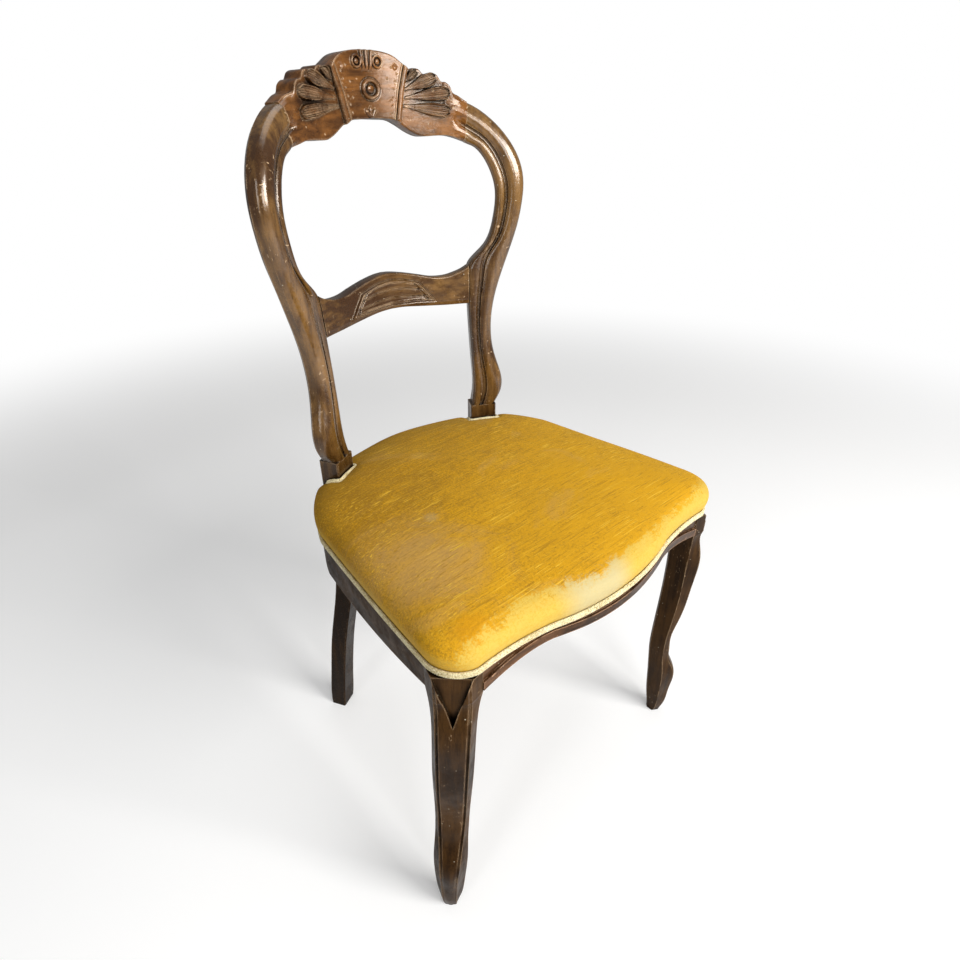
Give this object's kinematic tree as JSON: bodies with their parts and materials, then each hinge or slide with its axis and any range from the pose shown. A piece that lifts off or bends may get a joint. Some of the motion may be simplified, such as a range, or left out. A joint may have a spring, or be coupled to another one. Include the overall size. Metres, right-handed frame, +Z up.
{
  "type": "balloon back chair",
  "caption": "Side chair with a hollow balloon back, carved crest rail, curved front legs, swept rear legs and a crowned velvet seat edged with braid.",
  "frame": {"origin": "on the floor, in the middle of the overall width and depth", "axes": "+X to the viewer's right seen from the front, -Y towards the front of the seat, +Z up"},
  "size_m": [0.49, 0.4526, 0.929],
  "materials": {
    "walnut_stained_wood": "old dark polish, rubbed lighter on the edges",
    "beech": "bare",
    "steel": "plain",
    "blued_steel": "blued",
    "webbing": "woven jute",
    "hessian": "open weave",
    "stuffing": "felted fibre",
    "gold_velvet": "crushed, worn pile",
    "cream_braid": "braided trim"
  },
  "bodies": {
    "root": {"crest_rail": "walnut_stained_wood", "lower_back_rail": "walnut_stained_wood", "back_post_right": "walnut_stained_wood", "back_post_left": "walnut_stained_wood", "front_leg_right": "walnut_stained_wood", "front_leg_left": "walnut_stained_wood", "front_rail": "walnut_stained_wood", "side_rail_right": "walnut_stained_wood", "side_rail_left": "walnut_stained_wood", "back_seat_rail": "walnut_stained_wood", "corner_block_front_right": "beech", "corner_block_front_left": "beech", "corner_block_rear_right": "beech", "corner_block_rear_left": "beech", "crest_dowels": "beech", "lower_rail_dowels": "beech", "front_rail_dowels": "beech", "side_rail_front_dowels": "beech", "side_rail_back_dowels": "beech", "back_seat_rail_dowels": "beech", "corner_block_screws": "steel", "webbing_tacks": "blued_steel", "webbing_front_to_back": "webbing", "webbing_side_to_side": "webbing", "hessian": "hessian", "seat_stuffing": "stuffing", "velvet_cover": "gold_velvet", "gimp_braid": "cream_braid"}
  },
  "joints": []
}
